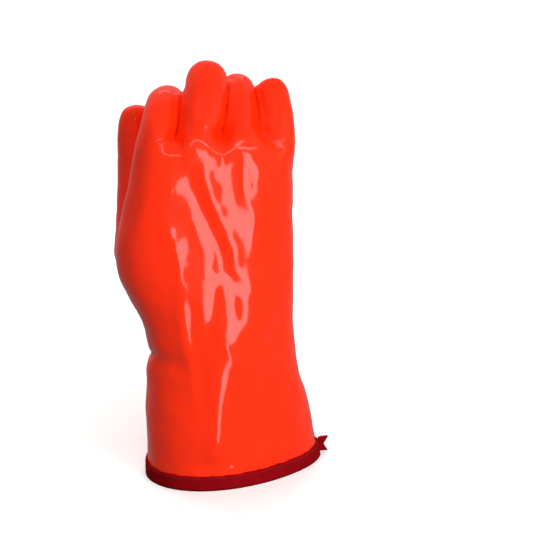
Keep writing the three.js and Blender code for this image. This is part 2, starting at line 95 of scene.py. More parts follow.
@dataclass
class Graph:
    """A node tree with short calls to add and join its nodes.

    Args:
        tree: The node tree of a material, world or group.
    """

    tree: bpy.types.NodeTree

    def add(self, kind: str, **values: object) -> bpy.types.Node:
        """Adds one node.

        Args:
            kind: The node's class, without its ShaderNode prefix.
            values: Properties of the node, and constants for its inputs, with _ for a space.

        Returns:
            The new node.
        """
        node = self.tree.nodes.new("ShaderNode" + kind)
        for key, value in values.items():
            if hasattr(node, key):
                setattr(node, key, value)
            else:
                node.inputs[key.replace("_", " ")].default_value = value
        return node

    def join(self, output: bpy.types.NodeSocket, target: bpy.types.NodeSocket) -> None:
        """Links an output to an input."""
        self.tree.links.new(output, target)

    def maths(self, kind: str, first: object, second: object = 0.0) -> bpy.types.NodeSocket:
        """Adds a math node.

        Args:
            kind: The operation.
            first: A socket or a number.
            second: A socket or a number.

        Returns:
            The node's output.
        """
        node = self.add("Math", operation=kind)
        for socket, value in zip(node.inputs, (first, second)):
            if isinstance(value, bpy.types.NodeSocket):
                self.join(value, socket)
            else:
                socket.default_value = value
        return node.outputs[0]

    def mix(self, factor: object, first: Colour, second: Colour) -> bpy.types.NodeSocket:
        """Blends two colours by a factor.

        Args:
            factor: The socket with the share of the second colour.
            first: The colour at 0.
            second: The colour at 1.

        Returns:
            The blended colour's output.
        """
        node = self.add("Mix", data_type="RGBA")
        node.inputs[6].default_value = first.rgba
        node.inputs[7].default_value = second.rgba
        self.join(factor, node.inputs[0])
        return node.outputs[2]


def new_material(name: str) -> tuple[bpy.types.Material, Graph, bpy.types.Node]:
    """Starts a material.

    Args:
        name: The finish's plain name.

    Returns:
        The material, its graph and its Principled shader.
    """
    material = bpy.data.materials.new(name)
    material.use_nodes = True
    graph = Graph(material.node_tree)
    return material, graph, material.node_tree.nodes["Principled BSDF"]


class SharedEffects:
    """Node groups that several finishes use, built once."""

    SPOT_DETAIL = 4.0
    SPOT_ROUGHNESS = 0.55
    MIDDLE = 0.5
    """The value that a mask or a height swings round."""

    _made: dict[str, bpy.types.NodeTree] = {}

    @classmethod
    def mottle(cls) -> bpy.types.NodeTree:
        """A soft uneven mask over the surface, from 0 to 1."""
        if "mottle" in cls._made:
            return cls._made["mottle"]
        tree = bpy.data.node_groups.new("mottle", "ShaderNodeTree")
        tree.interface.new_socket("Vector", in_out="INPUT", socket_type="NodeSocketVector")
        tree.interface.new_socket("Scale", in_out="INPUT", socket_type="NodeSocketFloat")
        tree.interface.new_socket("Contrast", in_out="INPUT", socket_type="NodeSocketFloat")
        tree.interface.new_socket("Mask", in_out="OUTPUT", socket_type="NodeSocketFloat")
        graph = Graph(tree)
        start = tree.nodes.new("NodeGroupInput")
        end = tree.nodes.new("NodeGroupOutput")
        spots = graph.add("TexNoise", Detail=cls.SPOT_DETAIL, Roughness=cls.SPOT_ROUGHNESS)
        graph.join(start.outputs["Vector"], spots.inputs["Vector"])
        graph.join(start.outputs["Scale"], spots.inputs["Scale"])
        centred = graph.maths("SUBTRACT", spots.outputs["Fac"], cls.MIDDLE)
        spread = graph.maths("MULTIPLY", centred, start.outputs["Contrast"])
        mask = graph.add("Clamp")
        graph.join(graph.maths("ADD", spread, cls.MIDDLE), mask.inputs["Value"])
        graph.join(mask.outputs[0], end.inputs["Mask"])
        cls._made["mottle"] = tree
        return tree

    @classmethod
    def weave(cls) -> bpy.types.NodeTree:
        """A plain weave's height over a pattern in UV."""
        if "weave" in cls._made:
            return cls._made["weave"]
        tree = bpy.data.node_groups.new("weave", "ShaderNodeTree")
        tree.interface.new_socket("Vector", in_out="INPUT", socket_type="NodeSocketVector")
        tree.interface.new_socket("Threads", in_out="INPUT", socket_type="NodeSocketFloat")
        tree.interface.new_socket("Height", in_out="OUTPUT", socket_type="NodeSocketFloat")
        graph = Graph(tree)
        start = tree.nodes.new("NodeGroupInput")
        end = tree.nodes.new("NodeGroupOutput")
        parts = graph.add("SeparateXYZ")
        graph.join(start.outputs["Vector"], parts.inputs[0])
        waves = []
        for axis in ("X", "Y"):
            turns = graph.maths("MULTIPLY", parts.outputs[axis], start.outputs["Threads"])
            waves.append(graph.maths("SINE", graph.maths("MULTIPLY", turns, math.tau)))
        crossed = graph.maths("MULTIPLY", waves[0], waves[1])
        height = graph.maths("MULTIPLY_ADD", crossed, cls.MIDDLE)
        height.node.inputs[2].default_value = cls.MIDDLE
        graph.join(height, end.inputs["Height"])
        cls._made["weave"] = tree
        return tree


def grouped(graph: Graph, tree: bpy.types.NodeTree, **values: float) -> bpy.types.Node:
    """Places a shared effect in a material.

    Args:
        graph: The material's graph.
        tree: The effect's node group.
        values: Constants for the group's named inputs.

    Returns:
        The group's node.
    """
    node = graph.tree.nodes.new("ShaderNodeGroup")
    node.node_tree = tree
    for key, value in values.items():
        node.inputs[key].default_value = value
    return node


# Finishes


@dataclass(frozen=True)
class DippedCoat:
    """Glossy dipped vinyl: an even strong colour, a smooth skin and a faint orange-peel grain."""

    roughness: float = 0.34
    ior: float = 1.38
    specular: float = 0.1
    coat_weight: float = 0.6
    coat_roughness: float = 0.085
    coat_ior: float = 1.40
    tone_scale: float = 14.0
    tone_contrast: float = 1.3
    tone_share: float = 0.22
    grain_scale: float = 230.0
    grain_detail: float = 2.0
    grain_depth_mm: float = 0.035
    wave_scale: float = 38.0
    wave_detail: float = 1.0
    wave_depth_mm: float = 0.36

    def material(self) -> bpy.types.Material:
        """Builds the coat's material."""
        material, graph, shader = new_material("dipped_coat")
        place = graph.add("TexCoord").outputs["Object"]
        tone = grouped(graph, SharedEffects.mottle(), Scale=self.tone_scale, Contrast=self.tone_contrast)
        graph.join(place, tone.inputs["Vector"])
        depth = graph.maths("MULTIPLY", tone.outputs["Mask"], self.tone_share)
        graph.join(graph.mix(depth, Colour.COAT, Colour.COAT_DEEP), shader.inputs["Base Color"])
        shader.inputs["Roughness"].default_value = self.roughness
        shader.inputs["IOR"].default_value = self.ior
        shader.inputs["Specular IOR Level"].default_value = self.specular
        shader.inputs["Coat Weight"].default_value = self.coat_weight
        shader.inputs["Coat Roughness"].default_value = self.coat_roughness
        shader.inputs["Coat IOR"].default_value = self.coat_ior
        grain = graph.add("TexNoise", Scale=self.grain_scale, Detail=self.grain_detail)
        graph.join(place, grain.inputs["Vector"])
        wave = graph.add("TexNoise", Scale=self.wave_scale, Detail=self.wave_detail)
        graph.join(place, wave.inputs["Vector"])
        small = graph.maths("MULTIPLY", grain.outputs["Fac"], self.grain_depth_mm)
        large = graph.maths("MULTIPLY", wave.outputs["Fac"], self.wave_depth_mm)
        bump = graph.add("Bump", Strength=1.0, Distance=MM)
        graph.join(graph.maths("ADD", small, large), bump.inputs["Height"])
        graph.join(bump.outputs["Normal"], shader.inputs["Normal"])
        graph.join(bump.outputs["Normal"], shader.inputs["Coat Normal"])
        return material


@dataclass(frozen=True)
class KnitLining:
    """A pale knitted liner that the coat is dipped over, seen only through the cuff's mouth."""

    loops_per_metre: float = 620.0
    depth_mm: float = 0.5
    turned_deg: float = 90.0
    fuzz_scale: float = 420.0
    fuzz_contrast: float = 1.6
    roughness: float = 0.95
    sheen: float = 0.3
    bump: float = 0.8

    def material(self) -> bpy.types.Material:
        """Builds the liner's material."""
        material, graph, shader = new_material("knit_lining")
        place = graph.add("TexCoord").outputs["Object"]
        knit = grouped(graph, SharedEffects.weave(), Threads=self.loops_per_metre)
        turned = graph.add("Mapping", vector_type="POINT")
        turned.inputs["Rotation"].default_value = (math.radians(self.turned_deg), 0.0, 0.0)
        graph.join(place, turned.inputs["Vector"])
        graph.join(turned.outputs["Vector"], knit.inputs["Vector"])
        fuzz = grouped(graph, SharedEffects.mottle(), Scale=self.fuzz_scale, Contrast=self.fuzz_contrast)
        graph.join(place, fuzz.inputs["Vector"])
        both = graph.maths("ADD", knit.outputs["Height"], fuzz.outputs["Mask"])
        shade = graph.maths("MULTIPLY", both, 0.5)
        graph.join(graph.mix(shade, Colour.KNIT_SHADE, Colour.KNIT), shader.inputs["Base Color"])
        shader.inputs["Roughness"].default_value = self.roughness
        shader.inputs["Sheen Weight"].default_value = self.sheen
        bump = graph.add("Bump", Strength=self.bump, Distance=self.depth_mm * MM)
        graph.join(shade, bump.inputs["Height"])
        graph.join(bump.outputs["Normal"], shader.inputs["Normal"])
        return material


@dataclass(frozen=True)
class WovenTape:
    """Matt dark red woven tape with a visible plain weave and worn, paler high threads."""

    threads_per_metre: float = 900.0
    depth_mm: float = 0.25
    wear_scale: float = 90.0
    wear_contrast: float = 1.8
    pale_share: float = 0.35
    roughness: float = 0.88
    specular: float = 0.02
    bump: float = 0.7

    def material(self) -> bpy.types.Material:
        """Builds the tape's material."""
        material, graph, shader = new_material("woven_tape")
        place = graph.add("UVMap", uv_map="tape").outputs["UV"]
        weave = grouped(graph, SharedEffects.weave(), Threads=self.threads_per_metre)
        graph.join(place, weave.inputs["Vector"])
        wear = grouped(graph, SharedEffects.mottle(), Scale=self.wear_scale, Contrast=self.wear_contrast)
        graph.join(graph.add("TexCoord").outputs["Object"], wear.inputs["Vector"])
        light = graph.maths("MULTIPLY", weave.outputs["Height"], wear.outputs["Mask"])
        pale = graph.maths("ADD", light, self.pale_share)
        graph.join(graph.mix(pale, Colour.TAPE_DARK, Colour.TAPE), shader.inputs["Base Color"])
        shader.inputs["Roughness"].default_value = self.roughness
        shader.inputs["Specular IOR Level"].default_value = self.specular
        bump = graph.add("Bump", Strength=self.bump, Distance=self.depth_mm * MM)
        graph.join(weave.outputs["Height"], bump.inputs["Height"])
        graph.join(bump.outputs["Normal"], shader.inputs["Normal"])
        return material


@dataclass(frozen=True)
class SewingThread:
    """Twisted sewing thread, a little smoother than the tape."""

    twists_per_metre: float = 1500.0
    roughness: float = 0.6

    def material(self) -> bpy.types.Material:
        """Builds the thread's material."""
        material, graph, shader = new_material("sewing_thread")
        twist = graph.add("TexWave", Scale=self.twists_per_metre, bands_direction="DIAGONAL")
        graph.join(graph.add("TexCoord").outputs["Object"], twist.inputs["Vector"])
        tone = graph.mix(twist.outputs["Fac"], Colour.TAPE_DARK, Colour.THREAD)
        graph.join(tone, shader.inputs["Base Color"])
        shader.inputs["Roughness"].default_value = self.roughness
        return material


# Shape helpers


MERGE_MM = 0.01
"""Points of the CAD mesh that are nearer than this are one point."""

QUAD_TURN_DEG, QUAD_SKEW_DEG = 50.0, 60.0
"""How far two triangles may be bent and skewed and still join to a quad."""

CAGE_ROUNDS = 3
"""How often a cage is swollen so that its smooth surface runs through the solid's own points."""


def copied(node: str, name: str) -> bmesh.types.BMesh:
    """Takes a merged copy of a CAD node's mesh, with its triangles joined to quads.

    Args:
        node: The CAD node's name.
        name: The name that the log uses.

    Returns:
        The copy as a bmesh.
    """
    bm = bmesh.new()
    bm.from_mesh(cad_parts[node].data)
    bmesh.ops.remove_doubles(bm, verts=bm.verts, dist=MERGE_MM * MM)
    bmesh.ops.join_triangles(bm, faces=bm.faces, angle_face_threshold=math.radians(QUAD_TURN_DEG),
                             angle_shape_threshold=math.radians(QUAD_SKEW_DEG))
    log.info("%s starts from %d faces of %s", name, len(bm.faces), node)
    return bm


def coordinates(mesh: bpy.types.Mesh) -> np.ndarray:
    """The mesh's points as rows of three numbers."""
    places = np.empty(len(mesh.vertices) * 3)
    mesh.vertices.foreach_get("co", places)
    return places.reshape(-1, 3)


def normals(mesh: bpy.types.Mesh) -> np.ndarray:
    """The unit normals at the mesh's points as rows of three numbers."""
    facing = np.empty(len(mesh.vertices) * 3)
    mesh.vertex_normals.foreach_get("vector", facing)
    return facing.reshape(-1, 3)


def move(mesh: bpy.types.Mesh, places: np.ndarray) -> None:
    """Moves the mesh's points to new places in metres."""
    mesh.vertices.foreach_set("co", places.ravel())
    mesh.update()


def evaluated(piece: bpy.types.Object) -> bpy.types.Mesh:
    """A new mesh of the piece with its modifiers applied."""
    bpy.context.view_layer.update()
    graph = bpy.context.evaluated_depsgraph_get()
    return bpy.data.meshes.new_from_object(piece.evaluated_get(graph))


def finished(bm: bmesh.types.BMesh, name: str, levels: int = 0) -> bpy.types.Object:
    """Makes a smooth-shaded object at the origin and applies a subdivision to it.

    Args:
        bm: The mesh, which is freed.
        name: The piece's name.
        levels: Subdivision levels, which are applied at once.

    Returns:
        The object, linked to the scene.
    """
    mesh = bpy.data.meshes.new(name)
    bm.to_mesh(mesh)
    bm.free()
    piece = bpy.data.objects.new(name, mesh)
    bpy.context.scene.collection.objects.link(piece)
    if levels:
        rounded = piece.modifiers.new("rounded", "SUBSURF")
        rounded.levels = rounded.render_levels = levels
        solid = coordinates(mesh)
        cage = solid.copy()
        for _ in range(CAGE_ROUNDS):
            cage += solid - coordinates(evaluated(piece))[: len(solid)]
            move(mesh, cage)
        smooth = evaluated(piece)
        piece.modifiers.clear()
        piece.data = smooth
        smooth.name = name
    piece.data.shade_smooth()
    return piece


def eased(value: np.ndarray, low: float, high: float) -> np.ndarray:
    """A smooth step from 0 at low to 1 at high."""
    share = np.clip((value - low) / (high - low), 0.0, 1.0)
    return share * share * (3.0 - 2.0 * share)


@dataclass(frozen=True)
class Crease:
    """One fold, dent or ridge pressed into the coat.

    Args:
        side: The face of the hand that it lies on.
        line: Its points as (x, z) in millimetres, or (y, z) on the thumb's side.
        wide: How far it reaches to each side, in millimetres.
        out: How far it stands out, or in where negative, in millimetres.
        profile: How the coat bends across it.
    """

    BLUNT: ClassVar[float] = 0.15
    """The share of a crease's height that it keeps at its ends."""
    SHARPNESS: ClassVar[float] = 2.2
    """How fast a sharp crease falls away from its line."""
    STEEPNESS: ClassVar[float] = 2.5
    """How fast a step crease changes sides at its line."""
    FACING: ClassVar[tuple[float, float]] = (-0.15, 0.45)
    """How squarely skin has to face the crease's side to be touched, and to be moved fully."""

    side: Side
    line: tuple[tuple[float, float], ...]
    wide: float
    out: float
    profile: Profile = Profile.ROUND

    def push(self, places: np.ndarray, facing: np.ndarray) -> np.ndarray:
        """Works out how far each point of the coat moves out.

        Args:
            places: Points in millimetres.
            facing: The coat's unit normals there.

        Returns:
            One distance in millimetres for each point.
        """
        axis, sign = self.side.value
        flat = places[:, (1 - axis, 2)]
        nearest = np.full(len(flat), np.inf)
        across = np.zeros(len(flat))
        ends = np.zeros(len(flat))
        count = len(self.line) - 1
        for step, (first, second) in enumerate(zip(self.line, self.line[1:])):
            start = np.array(first)
            along = np.array(second) - start
            length = float(np.hypot(*along))
            share = np.clip((flat - start) @ along / length**2, 0.0, 1.0)
            gap = flat - start - share[:, None] * along
            far = np.hypot(gap[:, 0], gap[:, 1])
            signed = (gap[:, 0] * along[1] - gap[:, 1] * along[0]) / length
            closer = far < nearest
            nearest = np.where(closer, far, nearest)
            across = np.where(closer, signed, across)
            ends = np.where(closer, (step + share) / count, ends)
        hump = np.sqrt(np.clip(4.0 * ends * (1.0 - ends), 0.0, 1.0))
        taper = hump * (1.0 - self.BLUNT) + self.BLUNT
        reach = nearest / self.wide
        if self.profile is Profile.SHARP:
            shape = np.exp(-self.SHARPNESS * reach)
        elif self.profile is Profile.STEP:
            shape = np.exp(-reach**2) * np.tanh(self.STEEPNESS * across / self.wide)
        else:
            shape = np.exp(-reach**2)
        seen = eased(facing[:, axis] * sign, *self.FACING)
        return self.out * shape * taper * seen


# The glove


KNUCKLES: tuple[tuple[float, float], ...] = (
    (-42, 231), (-35, 231), (-30, 239), (-26, 241), (-20, 239), (-14, 233), (-8, 229),
    (-4, 232), (0, 237), (4, 239), (9, 239), (14, 236), (18, 231), (22, 227), (30, 226),
)
"""The wavy line where the fingers rise from the back of the hand, as (x, z) in millimetres."""


def crest_at(x: np.ndarray) -> np.ndarray:
    """The height of the line of knuckles over each x, in millimetres."""
    return np.interp(x, *zip(*KNUCKLES))


@dataclass(frozen=True)
class KnuckleFlat:
    """The taut skin below the knuckles, which bridges the hollows between the fingers' roots.

    All lengths are in millimetres.

    Args:
        low: The grid's least x and z.
        high: Its greatest x and z.
        step: The grid's step.
        sides: The x at which the flat starts, is full, starts to fade and ends.
        rise: The z at which it starts and is full.
        back: The y behind which nothing moves, and the y from which all does.
        facing: How squarely skin has to face the back to be touched, and to be moved fully.
        spread: How far the bumps' depths are blurred along x and z.
        wall: How much deeper the lining lies.
        proud: How far the taut skin stands out from the bumps.
        favour: The depth over which a bump outweighs a hollow.
        hold: The z above which the skin keeps straight on to the knuckles.
        lean: How far it leans back there for each millimetre of height.
        run: How far below a knuckle's crest it starts to bend back.
        bend: How far it bends back with the square of the height above that.
        slack: How far below a knuckle's crest it starts to end.
        fade: How far above a knuckle's crest it ends.
        soften: How much further it ends for each millimetre that the crest dips.
    """

    low: tuple[float, float] = (-80.0, 180.0)
    high: tuple[float, float] = (60.0, 256.0)
    step: float = 1.5
    sides: tuple[float, float, float, float] = (-52.0, -42.0, 26.0, 35.0)
    rise: tuple[float, float] = (184.0, 212.0)
    back: tuple[float, float] = (4.0, -3.0)
    facing: tuple[float, float] = (-0.3, 0.15)
    spread: tuple[float, float] = (8.0, 2.5)
    wall: float = 3.0
    proud: float = 0.5
    favour: float = 2.5
    hold: float = 216.0
    lean: float = 0.06
    run: float = 14.5
    bend: float = 0.0122
    slack: float = 2.5
    fade: float = 3.5
    soften: float = 0.35

    def blurred(self, grid: np.ndarray) -> np.ndarray:
        """Blurs a grid along x and z, with each kernel cut off at three times its spread."""
        for axis, spread in enumerate(self.spread):
            reach = int(3.0 * spread / self.step) + 1
            shares = np.exp(-0.5 * (np.arange(-reach, reach + 1) * self.step / spread) ** 2)
            grid = np.apply_along_axis(np.convolve, axis, grid, shares / shares.sum(), "same")
        return grid

    def taut(self, cell: np.ndarray, y: np.ndarray, shape: tuple[int, int]) -> np.ndarray:
        """Lays the taut skin over the bumps.

        Args:
            cell: The grid cell of each point of the back's skin.
            y: The depth of each point.
            shape: The grid's shape.

        Returns:
            The taut skin's depth over the grid.
        """
        near = cell.round().astype(int)
        weights = np.exp((y.min() - y) / self.favour)
        depth, count = np.zeros(shape), np.zeros(shape)
        np.add.at(depth, (near[:, 0], near[:, 1]), y * weights)
        np.add.at(count, (near[:, 0], near[:, 1]), weights)
        level = self.blurred(depth) / np.maximum(self.blurred(count), 1e-12)
        row = int((self.hold - self.low[1]) / self.step)
        above = self.step * np.arange(shape[1] - row)
        crests = crest_at(self.low[0] + self.step * np.arange(shape[0]))
        bent = np.maximum(self.hold + above[None, :] - crests[:, None] + self.run, 0.0)
        held = level[:, row:row + 1] + self.lean * above + self.bend * bent**2
        level[:, row:] = np.minimum(level[:, row:], held)
        return level - self.proud

    def share(self, places: np.ndarray, facing: np.ndarray) -> np.ndarray:
        """Works out how much of the taut skin's pull each point follows, from 0 to 1."""
        x, y, z = places.T
        crest = crest_at(x)
        fade = self.fade + self.soften * (max(top for _, top in KNUCKLES) - crest)
        share = eased(z, *self.rise) * (1.0 - eased(z, crest - self.slack, crest + fade))
        share = share * eased(x, *self.sides[:2]) * (1.0 - eased(x, *self.sides[2:]))
        share = share * eased(-y, -self.back[0], -self.back[1])
        return share * eased(-facing[:, 1], *self.facing)

    def moved(self, places: np.ndarray, facing: np.ndarray, inner: np.ndarray) -> np.ndarray:
        """Works out how far each point moves along Y.

        Args:
            places: Points in millimetres.
            facing: The coat's unit normals there.
            inner: True for each point of the lining.

        Returns:
            One distance in millimetres for each point.
        """
        cell = (places[:, (0, 2)] - np.array(self.low)) / self.step
        shape = tuple(int((top - base) / self.step) + 2 for base, top in zip(self.low, self.high))
        here = np.all((cell >= 0) & (cell < np.array(shape) - 1), axis=1)
        skin = here & ~inner & (facing[:, 1] < 0.0) & (places[:, 1] < self.back[0])
        taut = self.taut(cell[skin], places[skin, 1], shape)
        base = np.clip(np.floor(cell).astype(int), 0, np.array(shape) - 2)
        left, up = (cell - base).T
        i, j = base.T
        target = ((1 - left) * ((1 - up) * taut[i, j] + up * taut[i, j + 1])
                  + left * ((1 - up) * taut[i + 1, j] + up * taut[i + 1, j + 1]))
        pull = np.minimum(target + np.where(inner, self.wall, 0.0) - places[:, 1], 0.0)
        return np.where(here, pull * self.share(places, facing), 0.0)


@dataclass
class GloveCoat:
    """The hand, fingers, thumb and cuff as one hollow coat with its lining.

    Args:
        levels: Subdivision levels over the CAD solid's facets.
        unevenness_mm: How far the dipped skin wanders from a true surface.
        wander_mm: The sizes of the large and the small swells that it wanders in.
        rim_mm: The heights at which the folds start above the rim and are full.
        touch_mm: The widest gap that two fingers close by swelling against each other.
        full_share: The share of that gap up to which they close it fully.
        knuckles_mm: The height above which fingers swell.
        smoothing: How often the swelling is evened out between neighbouring points.
        lift_mm: How far above the skin its view of the next finger starts.
        opposite: How squarely the next finger's skin has to face back.
        level_z: The normal below which a face belongs to the rim.
        level_mm: How far above the lowest point such a face may lie.
        creases: The folds that the soft glove holds.
    """

    levels: int = 2
    unevenness_mm: float = 0.5
    wander_mm: tuple[float, float] = (17.0, 7.0)
    rim_mm: tuple[float, float] = (6.0, 20.0)
    touch_mm: float = 9.0
    full_share: float = 0.55
    knuckles_mm: float = 198.0
    smoothing: int = 6
    lift_mm: float = 0.05
    opposite: float = -0.2
    level_z: float = -0.75
    level_mm: float = 3.0
    creases: tuple[Crease, ...] = field(default_factory=tuple)

    def build(self) -> bpy.types.Object:
        """Builds the coat and hides the CAD shell behind it.

        Returns:
            The finished piece.
        """
        bm = copied("glove_shell", "glove_coat")
        piece = finished(bm, "glove_coat", self.levels)
        inner = self.inner_points(piece.data)
        self.close_fingers(piece.data, inner)
        self.press(piece.data, inner)
        self.dress(piece, inner)
        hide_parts("glove_shell")
        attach(piece, "root")
        return piece

    def inner_points(self, mesh: bpy.types.Mesh) -> np.ndarray:
        """Finds the points of the lining.

        Args:
            mesh: The subdivided coat.

        Returns:
            True for each point of the inner wall.
        """
        bm = bmesh.new()
        bm.from_mesh(mesh)
        top = min(v.co.z for v in bm.verts) + self.level_mm * MM
        rim = [f for f in bm.faces if f.normal.z < self.level_z and f.calc_center_median().z < top]
        seen: set[bmesh.types.BMFace] = set(rim)
        islands: list[list[bmesh.types.BMFace]] = []
        for face in bm.faces:
            if face in seen:
                continue
            island = [face]
            seen.add(face)
            for member in island:
                for edge in member.edges:
                    for other in edge.link_faces:
                        if other not in seen:
                            seen.add(other)
                            island.append(other)
            islands.append(island)
        islands.sort(key=lambda island: sum(f.calc_area() for f in island), reverse=True)
        log.info("the coat has %d rim faces and walls of %s", len(rim), [len(i) for i in islands])
        inner = np.zeros(len(bm.verts), bool)
        for face in islands[1]:
            for vert in face.verts:
                inner[vert.index] = True
        bm.free()
        return inner

    def close_fingers(self, mesh: bpy.types.Mesh, inner: np.ndarray) -> None:
        """Swells neighbouring fingers until they meet in a crease, as padded ones do.

        Args:
            mesh: The subdivided coat.
            inner: True for each point of the lining.
        """
        faces = [tuple(p.vertices) for p in mesh.polygons if not inner[p.vertices[0]]]
        points = [v.co.copy() for v in mesh.vertices]
        outward = [v.normal.copy() for v in mesh.vertices]
        skin = BVHTree.FromPolygons(points, faces)
        reach = self.touch_mm * MM
        swell = np.zeros(len(points))
        limit = np.full(len(points), np.inf)
        for index, (point, out) in enumerate(zip(points, outward)):
            if inner[index] or point.z < self.knuckles_mm * MM:
                continue
            _, met, _, gap = skin.ray_cast(point + out * self.lift_mm * MM, out, reach)
            if gap is None or met.dot(out) > self.opposite:
                continue
            share = 1.0 - float(eased(np.array(gap), self.full_share * reach, reach))
            limit[index] = gap / 2.0
            swell[index] = gap / 2.0 * share
        ends = np.array([e.vertices[:] for e in mesh.edges])
        links = np.zeros(len(points))
        np.add.at(links, ends[:, 0], 1.0)
        np.add.at(links, ends[:, 1], 1.0)
        for _ in range(self.smoothing):
            total = np.zeros(len(points))
            np.add.at(total, ends[:, 0], swell[ends[:, 1]])
            np.add.at(total, ends[:, 1], swell[ends[:, 0]])
            swell = np.minimum(0.5 * swell + 0.5 * total / np.maximum(links, 1.0), limit)
        swell[inner] = 0.0
        move(mesh, np.array(points) + np.array(outward) * swell[:, None])

    def press(self, mesh: bpy.types.Mesh, inner: np.ndarray) -> None:
        """Draws the knuckles' skin taut, and presses the creases and the unevenness into both walls.

        Args:
            mesh: The subdivided coat.
            inner: True for each point of the lining.
        """
        places = coordinates(mesh) / MM
        facing = normals(mesh)
        facing[inner] *= -1.0
        places[:, 1] += KnuckleFlat().moved(places, facing, inner)
        push = np.zeros(len(places))
        for crease in self.creases:
            push += crease.push(places, facing)
        large, small = self.wander_mm
        points = [Vector(p) for p in places]
        wander = np.array([noise.noise(p / large) + 0.5 * noise.noise(p / small) for p in points])
        push += self.unevenness_mm * wander
        push *= eased(places[:, 2], *self.rim_mm)
        move(mesh, (places + facing * push[:, None]) * MM)

    def dress(self, piece: bpy.types.Object, inner: np.ndarray) -> None:
        """Gives the outer wall the coat's material and the inner wall the lining's.

        Args:
            piece: The coat.
            inner: True for each point of the lining.
        """
        piece.data.materials.clear()
        piece.data.materials.append(DippedCoat().material())
        piece.data.materials.append(KnitLining().material())
        for polygon in piece.data.polygons:
            polygon.material_index = int(all(inner[i] for i in polygon.vertices))


CREASES: tuple[Crease, ...] = (
    # the overlapping fold that runs down from the knuckles, with ridges and folds beside it
    Crease(Side.BACK, ((-28, 219), (-26, 211), (-20, 194), (-13, 177), (-8, 163), (-4, 150)),
           9.0, -1.9, Profile.STEP),
    Crease(Side.BACK, ((11, 232), (12, 214), (13, 196)), 12.0, 1.7),
    Crease(Side.BACK, ((13, 204), (16, 184), (13, 152)), 14.0, 2.8),
    Crease(Side.BACK, ((4, 222), (5, 198), (11, 185), (9, 160)), 4.0, 0.5, Profile.SHARP),
    Crease(Side.BACK, ((-52, 196), (-46, 180), (-41, 161), (-39, 139)), 7.0, 1.2, Profile.SHARP),
    Crease(Side.BACK, ((-40, 204), (-37, 186), (-31, 166), (-26, 148)), 7.0, -0.7),
    Crease(Side.BACK, ((8, 226), (18, 209)), 4.5, 1.3, Profile.SHARP),
    # the flat between the back of the hand and the cuff, with the folds round it
    Crease(Side.BACK, ((11, 150), (9, 128), (13, 100), (16, 78)), 13.0, 2.8),
    Crease(Side.BACK, ((-15, 138), (-18, 118), (-23, 96)), 4.5, -1.0),
    Crease(Side.BACK, ((-15, 96), (-11, 99), (-6, 89), (2, 83), (10, 82)),
           5.0, 1.1, Profile.SHARP),
    Crease(Side.BACK, ((-16, 154), (-4, 142), (6, 136)), 4.5, -1.4, Profile.SHARP),
    Crease(Side.BACK, ((-4, 132), (-3, 116), (-7, 100)), 3.5, -0.7),
    # thin folds down the thumb's side of the cuff
    Crease(Side.BACK, ((-40, 148), (-38, 122), (-36, 96), (-31, 77), (-26, 42)), 5.0, 1.4),
    Crease(Side.BACK, ((-33, 132), (-31, 104), (-27, 84)), 4.0, -0.8),
    # the long fold down the middle of the cuff
    Crease(Side.BACK, ((-17, 96), (-19, 70), (-18, 42), (-20, 6)), 7.0, 1.1),
    Crease(Side.BACK, ((-25, 88), (-26, 60), (-27, 20)), 5.0, -0.9),
    # short folds beside the row of knuckles
    Crease(Side.BACK, ((-57, 211), (-50, 207), (-43, 203)), 3.0, 1.0, Profile.SHARP),
    Crease(Side.BACK, ((18, 241), (22, 226)), 8.0, 1.3),
    Crease(Side.BACK, ((22, 240), (29, 237), (36, 234)), 4.5, 1.1),
    Crease(Side.BACK, ((24, 231), (35, 227)), 4.0, 0.9),
    # faint long ridges on the backs of the fingers
    Crease(Side.BACK, ((-51, 250), (-50, 233)), 4.0, 0.8),
    Crease(Side.BACK, ((-25, 258), (-22, 243)), 4.0, 0.8),
    # the notch at the wrist under the thumb
    Crease(Side.THUMB, ((-24, 90), (-13, 85), (4, 82), (24, 84)), 5.0, -3.0, Profile.SHARP),
    Crease(Side.THUMB, ((-36, 80), (-10, 74), (20, 76)), 7.0, 1.0),
    # the fold round the ball of the thumb
    Crease(Side.PALM, ((-22, 150), (-24, 128), (-34, 112), (-50, 107), (-66, 111)),
           5.0, -2.0, Profile.SHARP),
    Crease(Side.PALM, ((-36, 172), (-48, 166), (-60, 170)), 4.0, -1.6, Profile.SHARP),
    # the long bent ridge in the palm side of the cuff, with small folds above it
    Crease(Side.PALM, ((7, 69), (4, 58), (-6, 52), (-19, 45)), 5.0, 1.6, Profile.SHARP),
    Crease(Side.PALM, ((-12, 94), (-7, 80)), 3.0, -1.1, Profile.SHARP),
    Crease(Side.PALM, ((-20, 90), (-14, 76)), 3.0, -0.8, Profile.SHARP),
    # creases of the palm and of the fingers' roots
    Crease(Side.PALM, ((8, 204), (-14, 186), (-34, 170)), 5.0, 1.3, Profile.SHARP),
    Crease(Side.PALM, ((-44, 203), (-28, 206)), 3.0, -1.2, Profile.SHARP),
    Crease(Side.PALM, ((-20, 207), (-4, 206)), 3.0, -1.2, Profile.SHARP),
    Crease(Side.PALM, ((6, 203), (22, 199)), 3.0, -1.2, Profile.SHARP),
    # short folds just above the binding
    Crease(Side.PALM, ((-32, 38), (-15, 22)), 4.5, 0.9, Profile.SHARP),
    Crease(Side.PALM, ((-8, 32), (3, 16)), 4.0, 0.8, Profile.SHARP),
    Crease(Side.PALM, ((10, 36), (27, 20)), 4.5, 0.9, Profile.SHARP),
)


